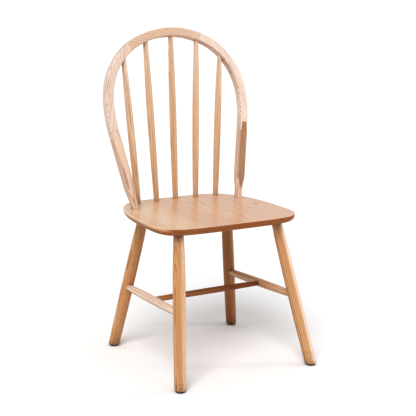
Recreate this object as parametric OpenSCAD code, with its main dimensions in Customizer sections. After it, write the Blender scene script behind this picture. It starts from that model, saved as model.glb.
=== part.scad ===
// Hoop-back dining chair in oak. Front faces -Y, the sitter's left is -X, +Z is up.
// Origin: on the floor, at the middle of the chair's overall width and depth. Millimetres.

/* [Seat] */
// Height of the seat's top face above the floor
seat_top = 440; // [400:1:480]
// Thickness of the seat panel
seat_t = 22; // [20:1:30]
// Half of the seat's width, at its middle
seat_half_w = 234; // [200:1:260]
// How much the half-width grows towards the front edge
seat_flare = 11; // [0:1:20]
// Half of the seat's depth
seat_half_d = 193; // [170:1:210]
// Squareness of the sides (2 is an ellipse, larger is squarer)
side_square = 5.2; // [2:0.1:8]
// Squareness of the front corners
front_square = 4.8; // [2:0.1:8]
// Squareness of the back edge
back_square = 2; // [2:0.1:4]
// Distance of the seat's middle behind the origin
seat_y = 21.9; // [10:0.1:40]
// Radius of the softened top edge
seat_edge_r = 1.5; // [1:0.5:3]
// How far the rounded underside edge cuts in
under_in = 18; // [5:1:25]
// How far the rounded underside edge reaches up
under_up = 18; // [5:1:18]
// Width of the full-width seat boards
board_w = 110; // [90:1:130]
// Place of the first glue line between boards, from the middle
first_glue_line = -97; // [-110:1:-85]

/* [Legs] */
// Front foot: sideways from the middle, and back from the seat's middle
front_foot = [225, -264]; // [-300:1:300]
// Front leg at the seat's underside: sideways, and back from the seat's middle
front_top = [167, -139]; // [-300:1:300]
// Back foot: sideways, and back from the seat's middle
back_foot = [216, 158]; // [-300:1:300]
// Back leg at the seat's underside: sideways, and back from the seat's middle
back_top = [146, 102]; // [-300:1:300]
// Leg diameter under the seat
leg_top_d = 29; // [27:0.5:34]
// Largest leg diameter
leg_mid_d = 36.4; // [32:0.2:40]
// Leg diameter at the foot
leg_foot_d = 32.6; // [28:0.2:38]
// Height of the largest leg diameter
leg_mid_z = 230; // [180:1:280]
// Diameter of the tenon on top of each leg
leg_tenon_d = 22; // [18:0.5:24]
// Length of the tenon inside the seat
leg_tenon = 15; // [10:0.5:17]

/* [Stretchers] */
// Height of the side stretchers at the front legs
stretcher_front_z = 203; // [150:1:250]
// Height of the side stretchers at the back legs
stretcher_back_z = 190; // [150:1:250]
// Side stretcher diameter at its ends
side_end_d = 20.5; // [18:0.5:22]
// Side stretcher diameter at its middle
side_mid_d = 24.5; // [22:0.5:30]
// Cross stretcher diameter at its ends
cross_end_d = 15; // [12:0.5:16]
// Cross stretcher diameter at its middle
cross_mid_d = 18.5; // [16:0.5:24]

/* [Hoop] */
// Backward lean of the hoop
lean = 14.3; // [8:0.1:20]
// Where the hoop's plane meets the seat's top face, back from the seat's middle
hoop_back = 90.4; // [70:0.1:110]
// Height of the hoop's middle line above the seat, measured along the lean
hoop_h = 524; // [480:1:560]
// Width of the hoop's bar, across its face
bar_w = 26.2; // [22:0.2:30]
// Depth of the hoop's bar, front to back
bar_d = 26.6; // [22:0.2:30]
// Radius of the bar's softened edges
bar_edge_r = 4; // [1:0.5:6]
// Radius of the crown arc
crown_r = 279; // [260:1:300]
// Angle from the top at which the crown arc ends
crown_end = 24; // [18:1:30]
// Radius of the shoulder arcs
shoulder_r = 202; // [190:1:215]
// Angle from the top at which the shoulder arcs end
shoulder_end = 89; // [80:1:92]
// Radius of the gentle side arcs that run into the straight posts
side_r = 462; // [400:1:500]
// Angle from the top at which the side arcs end
side_end = 101; // [95:1:104]

/* [Hoop joints] */
// Distance along the hoop from its top to the finger joint on the left
joint_left = 163; // [130:1:170]
// Distance along the hoop from its top to the finger joint on the right
joint_right = 104; // [102:1:110]
// Length of the fingers in the two crown joints
finger = 10; // [6:1:14]
// Distance from the seat to the shoulders of the joint between post and arch
tongue_low = 213; // [190:1:215]
// Length of the tongue that joins post and arch
tongue = 28; // [20:1:30]
// Diameter of the turned neck at the foot of each post
neck_d = 23.5; // [20:0.5:26]
// Height of the neck above the seat
neck_h = 22; // [15:1:40]
// Height above the seat at which the post is fully square
square_h = 78; // [50:1:90]
// Diameter of the post's tenon through the seat
post_tenon_d = 18; // [14:0.5:20]

/* [Spindles] */
// Spindle diameter at the seat
spindle_low_d = 16; // [13:0.5:18]
// Largest spindle diameter
spindle_mid_d = 21; // [18:0.5:24]
// Spindle diameter at the hoop
spindle_top_d = 14.5; // [12:0.5:16]
// Depth of the spindle holes in seat and hoop
spindle_hole = 15; // [10:0.5:17]

/* [Feet] */
// Diameter of the glides under the feet
glide_d = 27; // [20:1:30]
// Thickness of the glides
glide_t = 5; // [3:0.5:8]

/* [Hidden] */
$fn = 48;

// Glue clearance around round tenons, on the diameter, and at the bottom of blind holes
fit_gap = 0.2;
end_gap = 1;
// Half-space larger than the chair's parts, and how far cutting shapes run past what they cut
big = 600;
over = 30;
// Overlap of the shapes that make up one piece
lap = 0.01;
// Straight stretch at the top of a spindle and at each end of a stretcher
spindle_straight = 24;
stretcher_straight = 16;

seat_under = seat_top - seat_t;
hoop_y = seat_y + hoop_back;
left = -1;
right = 1;

// Spindles stand on a shallow curve across the seat and fan out to the hoop.
// Each entry is [sideways at the seat, back from the seat's middle, sideways at the hoop].
spindle_feet = [[-138, 154, -168], [-69.5, 163, -89], [0, 168, 0], [69.5, 163, 89], [138, 154, 168]];

// ---------- small helpers ----------

// Point at height z on the leg that runs from foot to top
function on_leg(foot, top, side, z) =
    let (k = z / seat_under)
    [side * (foot[0] + (top[0] - foot[0]) * k), seat_y + foot[1] + (top[1] - foot[1]) * k, z];

// Point of the hoop's leaning plane: s sideways, h up along the plane, d towards the front
function on_hoop(s, h, d = 0) =
    [s, hoop_y + h * sin(lean) - d * cos(lean), seat_top + h * cos(lean) + d * sin(lean)];

// Centres of the arcs of the hoop's right half, in its plane: crown, shoulder, side
crown_c = [0, hoop_h - crown_r];
shoulder_c = crown_c + (crown_r - shoulder_r) * [sin(crown_end), cos(crown_end)];
side_c = shoulder_c + (shoulder_r - side_r) * [sin(shoulder_end), cos(shoulder_end)];
// Where the side arc meets the straight post, and the post's direction down to the seat
post_top = side_c + side_r * [sin(side_end), cos(side_end)];
post_dir = [cos(side_end), -sin(side_end)];
post_len = post_top[1] / sin(side_end);
post_foot = post_top + post_len * post_dir;

// Lengths along the hoop's middle line: from the top to the end of each arc, then to the seat
crown_len = crown_r * crown_end * PI / 180;
shoulder_len = crown_len + shoulder_r * (shoulder_end - crown_end) * PI / 180;
side_len = shoulder_len + side_r * (side_end - shoulder_end) * PI / 180;
line_len = side_len + post_len;

// Outward direction at angle a from the top
function out_at(a) = [sin(a), cos(a)];
// Point and outward direction of the middle line at distance u from the top, left of it below 0
function middle_line(u) =
    u < 0 ? let (m = middle_line(-u)) [[-m[0][0], m[0][1]], [-m[1][0], m[1][1]]]
    : u > side_len ? [post_top + (u - side_len) * post_dir, out_at(side_end)]
    : u > shoulder_len ? arc_point(side_c, side_r, shoulder_end + (u - shoulder_len) / side_r * 180 / PI)
    : u > crown_len ? arc_point(shoulder_c, shoulder_r, crown_end + (u - crown_len) / shoulder_r * 180 / PI)
    : arc_point(crown_c, crown_r, u / crown_r * 180 / PI);
function arc_point(centre, r, a) = [centre + r * out_at(a), out_at(a)];

// Height of the hoop's inner edge at s sideways
function inner_h(s) =
    let (a = abs(s), crown_in = crown_r - bar_w / 2, shoulder_in = shoulder_r - bar_w / 2)
    a < crown_in * sin(crown_end)
        ? crown_c[1] + sqrt(crown_in * crown_in - a * a)
        : shoulder_c[1] + sqrt(pow(shoulder_in, 2) - pow(a - shoulder_c[0], 2));

// Places children with their +Z axis along the line from p to q, standing on p.
// Where that line is steep, heading is the direction of their +X axis seen from above.
module along(p, q, heading = 20) {
    v = q - p;
    turn = atan2(v[1], v[0]);
    translate(p)
        rotate([0, acos(v[2] / norm(v)), turn])
            rotate(heading - turn)
                children();
}

// Mirrors children to the given side: they are drawn on the right
module on_side(side) {
    mirror([side == left ? 1 : 0, 0, 0])
        children();
}

// Turned stick of length len whose diameter swells from d0 to d1 at k of its length and falls to d2
module turned(len, d0, d1, d2, k = 0.5, steps = 16, power = 2) {
    function bulge(t) = t < k
        ? d1 - (d1 - d0) * pow((k - t) / k, power)
        : d1 - (d1 - d2) * pow((t - k) / (1 - k), power);
    profile = [for (i = [0:steps]) [bulge(i / steps) / 2, len * i / steps]];
    rotate_extrude()
        polygon(concat([[0, 0]], profile, [[0, len]]));
}

// Oak tone, deeper as shade grows from 0
module oak(shade = 0) {
    color([0.85 - 0.04 * shade, 0.66 - 0.05 * shade, 0.47 - 0.05 * shade])
        children();
}

// ---------- seat ----------

function power_of(x, p) = sign(x) * pow(abs(x), p);

// Point of the seat's plan outline at angle a, around the seat's middle
function outline(a) =
    let (depth = power_of(sin(a), 2 / (sin(a) < 0 ? front_square : back_square)))
    [(seat_half_w - seat_flare * depth) * power_of(cos(a), 2 / side_square), seat_half_d * depth];

// The same point moved inwards by d, square to the outline
function inset(a, d) =
    let (run = outline(a + 0.5) - outline(a - 0.5), out = [run[1], -run[0]] / norm(run))
    outline(a) - d * out;

outline_steps = 96;
// Edge profile from the underside to the top: [inwards, height above the underside]
under_profile = [for (a = [0:15:90]) [under_in * (1 - sin(a)), under_up * (1 - cos(a))]];
top_profile = [for (a = [0:30:90]) [seat_edge_r * (1 - cos(a)), seat_t - seat_edge_r * (1 - sin(a))]];
edge_profile = concat(under_profile, top_profile);

// The whole panel as one closed shell: rings stacked along the edge profile
module seat_panel() {
    n = outline_steps;
    rings = len(edge_profile);
    points = [for (e = edge_profile) for (i = [0:n - 1])
        let (p = inset((i + 0.5) * 360 / n, e[0])) [p[0], p[1] + seat_y, seat_under + e[1]]];
    sides = [for (r = [0:rings - 2]) for (i = [0:n - 1])
        [r * n + i, (r + 1) * n + i, (r + 1) * n + (i + 1) % n, r * n + (i + 1) % n]];
    bottom = [[for (i = [0:n - 1]) i]];
    top = [[for (i = [n - 1:-1:0]) (rings - 1) * n + i]];
    polyhedron(points, concat(sides, bottom, top), convexity = 4);
}

// Blind holes in the underside for the leg tenons
module leg_mortise(foot, top, side) {
    along(on_leg(foot, top, side, seat_under), on_leg(foot, top, side, seat_top))
        translate([0, 0, -over])
            cylinder(d = leg_tenon_d + fit_gap, h = leg_tenon + end_gap + over);
}

// Blind hole for a spindle, from above the seat downwards
module spindle_seat_hole(i) {
    foot = spindle_foot(i);
    along(foot, spindle_head(i))
        translate([0, 0, -spindle_hole - end_gap])
            cylinder(d = spindle_low_d + fit_gap, h = spindle_hole + end_gap + over);
}

// Through hole for the tenon of a hoop post
module post_hole(side) {
    on_post(side)
        translate([0, 0, -seat_t - over])
            cylinder(d = post_tenon_d + fit_gap, h = seat_t + 2 * over);
}

// Board number i of the panel, cut at its glue lines and bored for everything it carries
module seat_board(i) {
    low = i == 1 ? -big : first_glue_line + (i - 2) * board_w;
    high = i == 4 ? big : first_glue_line + (i - 1) * board_w;
    oak((i * 2) % 3)
        difference() {
            intersection() {
                seat_panel();
                translate([low, -big, 0])
                    cube([high - low, 2 * big, big]);
            }
            if (i == 1 || i == 4) {
                side = i == 1 ? left : right;
                leg_mortise(front_foot, front_top, side);
                leg_mortise(back_foot, back_top, side);
                post_hole(side);
            }
            for (k = [0:4])
                if (spindle_foot(k)[0] > low && spindle_foot(k)[0] < high)
                    spindle_seat_hole(k);
        }
}

// ---------- hoop ----------

// Rounded outline of the bar's section: [across its face, towards the front]
bar_outline = let (r = bar_edge_r, x = bar_w / 2 - r, y = bar_d / 2 - r)
    [for (q = [0:3]) for (a = [q * 90:30:q * 90 + 90])
        [(q == 0 || q == 3 ? x : -x) + r * cos(a), (q < 2 ? y : -y) + r * sin(a)]];

// Lays children drawn in the plane of the hoop (X sideways, Y up, Z towards the front) in place
module hoop_plane() {
    translate([0, hoop_y, seat_top])
        rotate([90 - lean, 0, 0])
            children();
}

// Closed bar swept along the hoop's middle line, between distances u and v from the top
module bar(u, v) {
    step = 9;
    n = ceil((v - u) / step);
    m = len(bar_outline);
    points = [for (i = [0:n]) let (at = middle_line(u + (v - u) * i / n), out = at[1])
        for (p = bar_outline) [at[0][0] + p[0] * out[0], at[0][1] + p[0] * out[1], p[1]]];
    sides = [for (i = [0:n - 1]) for (j = [0:m - 1])
        [i * m + j, i * m + (j + 1) % m, (i + 1) * m + (j + 1) % m, (i + 1) * m + j]];
    ends = [[for (j = [m - 1:-1:0]) j], [for (j = [0:m - 1]) n * m + j]];
    polyhedron(points, concat(sides, ends), convexity = 4);
}

// Places children on the middle line at distance u from the top: +X outwards, +Y back to the top
module at_bar(u) {
    at = middle_line(abs(u));
    on_side(u < 0 ? left : right)
        translate(at[0])
            rotate(atan2(at[1][1], at[1][0]))
                children();
}

// Toothed block across the bar at distance u from the top: fingers across the bar's depth.
// It reaches on towards the top, or away from it when away is true.
module finger_block(u, away) {
    half_pitch = bar_d / 8;
    reach = (away ? -2 : 2) * over;
    teeth = [for (i = [-1:9]) [bar_d / 2 - i * half_pitch, (i % 2 == 0 ? 1 : -1) * finger / 2]];
    at_bar(u)
        translate([-bar_w, 0, 0])
            rotate([0, 90, 0])
                linear_extrude(2 * bar_w)
                    polygon(concat(teeth, [[-bar_d, reach], [bar_d, reach]]));
}

// Block below the joint between post and arch: a tapered tongue stands up between two cheeks
module tongue_block(side) {
    root = bar_w * 0.38;
    tip = bar_w * 0.26;
    on_side(side)
        translate(post_foot)
            rotate(atan2(post_dir[1], post_dir[0]) - 270)
                linear_extrude(2 * bar_d, center = true)
                    polygon([[-bar_w, -2 * over], [bar_w, -2 * over], [bar_w, tongue_low],
                        [root, tongue_low], [tip, tongue_low + tongue], [-tip, tongue_low + tongue],
                        [-root, tongue_low], [-bar_w, tongue_low]]);
}

// Places children at the foot of a post, +Z up along the post, with +X towards the back
module on_post(side) {
    along(on_hoop(side * post_foot[0], post_foot[1]), on_hoop(side * post_top[0], post_top[1]), 90)
        children();
}

// Round holes in the hoop for the tops of the spindles numbered in list
module spindle_hoop_holes(list) {
    for (i = list)
        along(spindle_foot(i), spindle_head(i))
            translate([0, 0, norm(spindle_head(i) - spindle_foot(i)) - over])
                cylinder(d = spindle_top_d + fit_gap, h = over + spindle_hole + end_gap);
}

// Top piece of the hoop, between its two finger joints
module hoop_crown() {
    oak(1)
        difference() {
            hoop_plane()
                difference() {
                    bar(-joint_left - over, joint_right + over);
                    finger_block(-joint_left, true);
                    finger_block(joint_right, true);
                }
            spindle_hoop_holes([1, 2, 3]);
        }
}

// Shoulder piece: from a crown joint round to the tongue joint with the post
module hoop_shoulder(side) {
    joint = side == left ? joint_left : joint_right;
    low_end = line_len - tongue_low + over;
    oak(side == left ? 0 : 0.5)
        difference() {
            hoop_plane()
                difference() {
                    if (side == left)
                        bar(-low_end, -joint + over);
                    else
                        bar(joint - over, low_end);
                    finger_block(side * joint, false);
                    tongue_block(side);
                }
            spindle_hoop_holes(side == left ? [0] : [4]);
        }
}

// Turned outline that narrows the square post to its round neck
neck_profile = let (r = neck_d / 2, full = norm([bar_w, bar_d]) / 2)
    [[0, -over], [r, -over], [r, neck_h],
        for (t = [0.1:0.1:1])
            [r + (full - r) * pow(t, 1.5), neck_h + (square_h - neck_h) * t],
        [full + 1, square_h + 1], [full + 1, big], [0, big]];

// Straight post with its turned neck, and a tenon through the seat
module hoop_post(side) {
    oak(side == left ? 0 : 2)
        difference() {
            union() {
                intersection() {
                    hoop_plane()
                        intersection() {
                            post_bar(side);
                            tongue_block(side);
                        }
                    on_post(side)
                        rotate_extrude()
                            polygon(neck_profile);
                    translate([-big, -big, seat_top])
                        cube(2 * big);
                }
                intersection() {
                    on_post(side)
                        translate([0, 0, -seat_t - over])
                            cylinder(d = post_tenon_d, h = seat_t + over + neck_h / 2);
                    translate([-big, -big, seat_under])
                        cube([2 * big, 2 * big, seat_t + 1]);
                }
            }
            post_wedge_shape(side);
        }
}

// The straight bar of a post, from below the seat to beyond the tip of its tongue
module post_bar(side) {
    r = bar_edge_r;
    on_side(side)
        translate(post_foot)
            rotate(atan2(post_dir[1], post_dir[0]) - 270)
                translate([0, -over, 0])
                    rotate([-90, 0, 0])
                        linear_extrude(tongue_low + tongue + 2 * over) {
                            square([bar_w, bar_d - 2 * r], center = true);
                            square([bar_w - 2 * r, bar_d], center = true);
                            for (x = [-1, 1])
                                for (y = [-1, 1])
                                    translate([x * (bar_w / 2 - r), y * (bar_d / 2 - r)])
                                        circle(r = r);
                        }
}

// Wedge driven into the end of a post's tenon from under the seat
module post_wedge_shape(side) {
    reach = 17;
    thick = 4.2;
    edge = 0.8;
    intersection() {
        on_post(side)
            rotate([90, 0, 0])
                linear_extrude(post_tenon_d - 3, center = true)
                    polygon([[-thick / 2, -seat_t - 6], [thick / 2, -seat_t - 6],
                        [edge / 2, reach - seat_t], [-edge / 2, reach - seat_t]]);
        translate([-big, -big, seat_under])
            cube([2 * big, 2 * big, seat_t]);
    }
}

module post_wedge(side) {
    oak(3)
        post_wedge_shape(side);
}

// ---------- spindles ----------

function spindle_foot(i) = [spindle_feet[i][0], seat_y + spindle_feet[i][1], seat_top];
function spindle_head(i) = on_hoop(spindle_feet[i][2], inner_h(spindle_feet[i][2]));

// Turned spindle: swells to its middle, with round ends in the seat and the hoop
module spindle(i) {
    foot = spindle_foot(i);
    head = spindle_head(i);
    len = norm(head - foot);
    oak(i % 2)
        along(foot, head) {
            translate([0, 0, -spindle_hole])
                cylinder(d = spindle_low_d, h = spindle_hole + lap);
            turned(len - spindle_straight, spindle_low_d, spindle_mid_d, spindle_top_d, 0.55, 20);
            translate([0, 0, len - spindle_straight - lap])
                cylinder(d = spindle_top_d, h = spindle_straight + lap + spindle_hole);
        }
}

// ---------- legs and stretchers ----------

// Barrel-shaped leg, cut level at the floor end and at the seat, with a round tenon on top
module leg(foot, top, side) {
    low = on_leg(foot, top, side, 0);
    high = on_leg(foot, top, side, seat_under);
    len = norm(high - low);
    oak(foot == back_foot ? 1.5 : 1)
        difference() {
            union() {
                intersection() {
                    along(low, high)
                        leg_barrel(len);
                    translate([-big, -big, glide_t])
                        cube([2 * big, 2 * big, seat_under - glide_t]);
                }
                along(low, high)
                    translate([0, 0, len - over])
                        cylinder(d = leg_tenon_d, h = over + leg_tenon);
            }
            stretcher_hole(foot, side);
            translate([low[0], low[1], 0])
                cylinder(d = nail_d + fit_gap, h = nail_len + end_gap);
        }
}

// The leg's turned body, run on past both cut ends
module leg_barrel(len) {
    k = leg_mid_z / seat_under;
    function d_at(t) = t > k
        ? leg_mid_d - (leg_mid_d - leg_top_d) * pow((t - k) / (1 - k), 2.6)
        : leg_mid_d - (leg_mid_d - leg_foot_d) * pow((k - t) / k, 2);
    profile = [for (i = [0:24]) [d_at(i / 24) / 2, len * i / 24]];
    rotate_extrude()
        polygon(concat([[0, -over], [leg_foot_d / 2, -over]], profile,
            [[leg_top_d / 2, len + over], [0, len + over]]));
}

// Ends of a side stretcher on the axes of its legs: [front, back]
function side_ends(side) = [on_leg(front_foot, front_top, side, stretcher_front_z),
    on_leg(back_foot, back_top, side, stretcher_back_z)];

// Turned stretcher between two points, stopping short of each by the given amount
module stretcher(p, q, short, end_d, mid_d) {
    len = norm(q - p);
    start = short + stretcher_straight;
    along(p, q) {
        translate([0, 0, start])
            turned(len - 2 * start, end_d, mid_d, end_d);
        for (z = [short, len - start - lap])
            translate([0, 0, z])
                cylinder(d = end_d, h = stretcher_straight + lap);
    }
}

// Blind hole in the leg on the given foot for the end of its side stretcher
module stretcher_hole(foot, side) {
    ends = side_ends(side);
    near = foot == front_foot ? 0 : 1;
    along(ends[near], ends[1 - near])
        translate([0, 0, side_short - end_gap])
            cylinder(d = side_end_d + fit_gap, h = 2 * over);
}

// The side stretchers stop this far from the leg axes, the cross stretcher from the side ones
side_short = 3;
cross_short = 1;

module side_stretcher(side) {
    ends = side_ends(side);
    mid = (ends[0] + ends[1]) / 2;
    oak(0.5)
        difference() {
            stretcher(ends[0], ends[1], side_short, side_end_d, side_mid_d);
            along(mid, [0, mid[1], mid[2]])
                translate([0, 0, cross_short - end_gap])
                    cylinder(d = cross_end_d + fit_gap, h = over);
        }
}

module cross_stretcher() {
    ends_left = side_ends(left);
    ends_right = side_ends(right);
    oak(2)
        stretcher((ends_left[0] + ends_left[1]) / 2, (ends_right[0] + ends_right[1]) / 2,
            cross_short, cross_end_d, cross_mid_d);
}

// ---------- glides under the feet ----------

nail_d = 3;
nail_head_d = 8;
nail_head_h = 1.5;
nail_sunk = 1;
nail_len = 22;

// Round glide with a recess for the nail's head
module glide(foot, side) {
    p = on_leg(foot, foot, side, 0);
    color([0.25, 0.22, 0.2])
        translate(p)
            difference() {
                rotate_extrude()
                    polygon([[0, 0], [glide_d / 2 - 1, 0], [glide_d / 2, 1], [glide_d / 2, glide_t],
                        [0, glide_t]]);
                translate([0, 0, -over])
                    cylinder(d = nail_d + fit_gap, h = glide_t + 2 * over);
                translate([0, 0, -over])
                    cylinder(d = nail_head_d + fit_gap, h = nail_sunk + nail_head_h + over);
            }
}

// Nail that holds a glide
module glide_nail(foot, side) {
    p = on_leg(foot, foot, side, 0);
    color("silver")
        translate(p) {
            translate([0, 0, nail_sunk])
                cylinder(d = nail_head_d, h = nail_head_h);
            translate([0, 0, nail_sunk])
                cylinder(d = nail_d, h = nail_len - nail_sunk);
        }
}

// ---------- the chair ----------

seat_board(1);  // seat_board_1
seat_board(2);  // seat_board_2
seat_board(3);  // seat_board_3
seat_board(4);  // seat_board_4
hoop_crown();
hoop_shoulder(left);  // hoop_shoulder_left
hoop_shoulder(right);  // hoop_shoulder_right
hoop_post(left);  // hoop_post_left
hoop_post(right);  // hoop_post_right
post_wedge(left);  // post_wedge_left
post_wedge(right);  // post_wedge_right
spindle(0);  // spindle_1
spindle(1);  // spindle_2
spindle(2);  // spindle_3
spindle(3);  // spindle_4
spindle(4);  // spindle_5
leg(front_foot, front_top, left);  // leg_front_left
leg(front_foot, front_top, right);  // leg_front_right
leg(back_foot, back_top, left);  // leg_back_left
leg(back_foot, back_top, right);  // leg_back_right
side_stretcher(left);  // side_stretcher_left
side_stretcher(right);  // side_stretcher_right
cross_stretcher();
glide(front_foot, left);  // glide_front_left
glide(front_foot, right);  // glide_front_right
glide(back_foot, left);  // glide_back_left
glide(back_foot, right);  // glide_back_right
glide_nail(front_foot, left);  // glide_nail_front_left
glide_nail(front_foot, right);  // glide_nail_front_right
glide_nail(back_foot, left);  // glide_nail_back_left
glide_nail(back_foot, right);  // glide_nail_back_right
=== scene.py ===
"""Looks of the hoop-back dining chair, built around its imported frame.

Metres. The chair's front faces -Y, the sitter's left is -X and +Z is up, as in the frame.
Each turned, sawn or moulded piece is made here in mesh code and stands for the frame's node of that name.
"""

import math

import bmesh
import bpy
from mathutils import Matrix, Vector


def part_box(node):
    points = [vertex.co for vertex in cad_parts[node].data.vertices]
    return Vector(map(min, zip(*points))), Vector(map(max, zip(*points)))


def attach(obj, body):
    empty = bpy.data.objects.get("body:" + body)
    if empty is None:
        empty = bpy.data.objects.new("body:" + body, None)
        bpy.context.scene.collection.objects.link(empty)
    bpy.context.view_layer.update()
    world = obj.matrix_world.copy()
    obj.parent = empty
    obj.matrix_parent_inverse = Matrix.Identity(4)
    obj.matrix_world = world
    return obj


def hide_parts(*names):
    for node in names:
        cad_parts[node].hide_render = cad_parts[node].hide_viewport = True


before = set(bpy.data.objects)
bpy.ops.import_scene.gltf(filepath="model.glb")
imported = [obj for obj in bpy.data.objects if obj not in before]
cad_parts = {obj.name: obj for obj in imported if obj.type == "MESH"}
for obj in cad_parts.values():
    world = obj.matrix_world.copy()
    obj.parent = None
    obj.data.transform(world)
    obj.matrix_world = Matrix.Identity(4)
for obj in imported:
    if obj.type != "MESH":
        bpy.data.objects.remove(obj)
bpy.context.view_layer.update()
MM = 0.001
LEFT, RIGHT = -1, 1
UP = Vector((0, 0, 1))

# ---------- camera ----------

CAMERA_AT = (-1.6868, -2.6934, 1.1760)
CAMERA_TURN = math.radians(-32.08)
CAMERA_TILT = math.radians(-12.88)
CAMERA_ROLL = math.radians(1.51)
LENS_MM = 95.2


def add_camera():
    data = bpy.data.cameras.new("camera")
    data.lens = LENS_MM
    data.sensor_width = 36
    camera = bpy.data.objects.new("camera", data)
    camera.matrix_world = (
        Matrix.Translation(CAMERA_AT)
        @ Matrix.Rotation(CAMERA_TURN, 4, "Z")
        @ Matrix.Rotation(math.radians(90) + CAMERA_TILT, 4, "X")
        @ Matrix.Rotation(CAMERA_ROLL, 4, "Z")
    )
    bpy.context.scene.collection.objects.link(camera)
    bpy.context.scene.camera = camera


add_camera()

# ---------- driving dimensions, the same as the frame's ----------

SEAT_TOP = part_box("seat_board_2")[1].z
SEAT_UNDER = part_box("seat_board_2")[0].z
SEAT_Y = 21.9 * MM
SEAT_HALF_W = 234 * MM
SEAT_FLARE = 11 * MM
SEAT_HALF_D = 193 * MM
SIDE_SQUARE, FRONT_SQUARE, BACK_SQUARE = 5.2, 4.8, 2
SEAT_EDGE_R = 1.5 * MM
UNDER_IN, UNDER_UP = 18 * MM, 18 * MM
FIRST_GLUE_LINE = -97 * MM
BOARD_W = 110 * MM

# Sideways from the middle, and back from the seat's middle
FRONT_FOOT, FRONT_TOP = (225 * MM, -264 * MM), (167 * MM, -139 * MM)
BACK_FOOT, BACK_TOP = (216 * MM, 158 * MM), (146 * MM, 102 * MM)
LEG_TOP_R, LEG_MID_R, LEG_FOOT_R = 14.5 * MM, 18.2 * MM, 16.3 * MM
LEG_MID_Z = 230 * MM
LEG_TENON_R, LEG_TENON = 11 * MM, 15 * MM
LEG_FOOT_ROUND = 1.2 * MM

STRETCHER_FRONT_Z, STRETCHER_BACK_Z = 203 * MM, 190 * MM
SIDE_END_R, SIDE_MID_R = 10.25 * MM, 12.25 * MM
CROSS_END_R, CROSS_MID_R = 7.5 * MM, 9.25 * MM
SIDE_SHORT, CROSS_SHORT = 3 * MM, 1 * MM
STRETCHER_STRAIGHT = 16 * MM

LEAN = math.radians(14.3)
HOOP_BACK = 90.4 * MM
HOOP_H = 524 * MM
BAR_W, BAR_D, BAR_EDGE_R = 26.2 * MM, 26.6 * MM, 4 * MM
CROWN_R, CROWN_END = 279 * MM, math.radians(24)
SHOULDER_R, SHOULDER_END = 202 * MM, math.radians(89)
SIDE_R, SIDE_END = 462 * MM, math.radians(101)
JOINT_LEFT, JOINT_RIGHT = 163 * MM, 104 * MM
FINGER, FINGER_STEPS = 10 * MM, 8
TONGUE_LOW, TONGUE = 213 * MM, 28 * MM
NECK_R, NECK_H, SQUARE_H = 11.75 * MM, 22 * MM, 78 * MM
POST_TENON_R = 9 * MM

# Sideways at the seat, back from the seat's middle, sideways at the hoop
SPINDLES = [
    (-138 * MM, 154 * MM, -168 * MM),
    (-69.5 * MM, 163 * MM, -89 * MM),
    (0, 168 * MM, 0),
    (69.5 * MM, 163 * MM, 89 * MM),
    (138 * MM, 154 * MM, 168 * MM),
]
SPINDLE_LOW_R, SPINDLE_MID_R, SPINDLE_TOP_R = 8 * MM, 10.5 * MM, 7.25 * MM
SPINDLE_STRAIGHT, SPINDLE_HOLE = 24 * MM, 15 * MM

GLIDE_R, GLIDE_T = 13.5 * MM, 5 * MM
GLIDE_ROUND, GLIDE_BEVEL, GLIDE_FLAT = 1 * MM, 0.4 * MM, 0.2 * MM
NAIL_R, NAIL_HEAD_R, NAIL_LEN = 1.5 * MM, 4 * MM, 22 * MM
NAIL_HEAD_TOP = 2.5 * MM
# The nail head's dome: share of its radius, and depth below its flat top
NAIL_DOME = [(0.125, 1.5 * MM), (0.65, 1.35 * MM), (0.925, 0.9 * MM), (1, 0.4 * MM), (1, 0)]

# Hairline left between glued pieces and around round tenons, and room at the bottom of blind holes
GLUE_GAP = 0.3 * MM
FIT_GAP = 0.1 * MM
END_GAP = 1 * MM
# Small bevel on the end of every tenon
TENON_BEVEL = 1 * MM
# How far drills and cutting blocks run past what they cut
PAST = 60 * MM
# How much longer a bar or a leg starts out than it ends up once its joints are cut
JOINT_SPARE = 20 * MM
# Edges sharper than this stay crisp
CREASE = math.radians(30)

# ---------- mesh helpers ----------


def add_object(name, mesh):
    data = bpy.data.meshes.new(name)
    mesh.to_mesh(data)
    mesh.free()
    thing = bpy.data.objects.new(name, data)
    bpy.context.scene.collection.objects.link(thing)
    return thing


def loft(name, rings):
    """Closed solid through rings of points, each with the same number of points."""
    mesh = bmesh.new()
    loops = [[mesh.verts.new(p) for p in ring] for ring in rings]
    count = len(loops[0])
    for low, high in zip(loops, loops[1:]):
        for i in range(count):
            j = (i + 1) % count
            mesh.faces.new((low[i], low[j], high[j], high[i]))
    mesh.faces.new(loops[0][::-1])
    mesh.faces.new(loops[-1])
    bmesh.ops.recalc_face_normals(mesh, faces=mesh.faces)
    return add_object(name, mesh)


def lathe(name, profile, place, segments=64):
    """Turned solid: profile lists (radius, height) along the axis, place puts that axis where it stands."""
    turns = [2 * math.pi * i / segments for i in range(segments)]
    rings = [
        [place @ Vector((r * math.cos(a), r * math.sin(a), z)) for a in turns]
        for r, z in profile
    ]
    return loft(name, rings)


def prism(name, outline, low, high, place):
    """Straight solid on a flat outline, from height low to height high."""
    return loft(name, [[place @ Vector((x, y, z)) for x, y in outline] for z in (low, high)])


def cut_flat(thing, point, outward):
    """Cuts off what lies beyond the plane through point, and closes the cut."""
    mesh = bmesh.new()
    mesh.from_mesh(thing.data)
    parts = mesh.verts[:] + mesh.edges[:] + mesh.faces[:]
    bmesh.ops.bisect_plane(
        mesh, geom=parts, plane_co=point, plane_no=outward, clear_outer=True, dist=1e-7
    )
    open_edges = [e for e in mesh.edges if e.is_boundary]
    bmesh.ops.holes_fill(mesh, edges=open_edges, sides=0)
    bmesh.ops.recalc_face_normals(mesh, faces=mesh.faces)
    mesh.to_mesh(thing.data)
    mesh.free()


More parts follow.
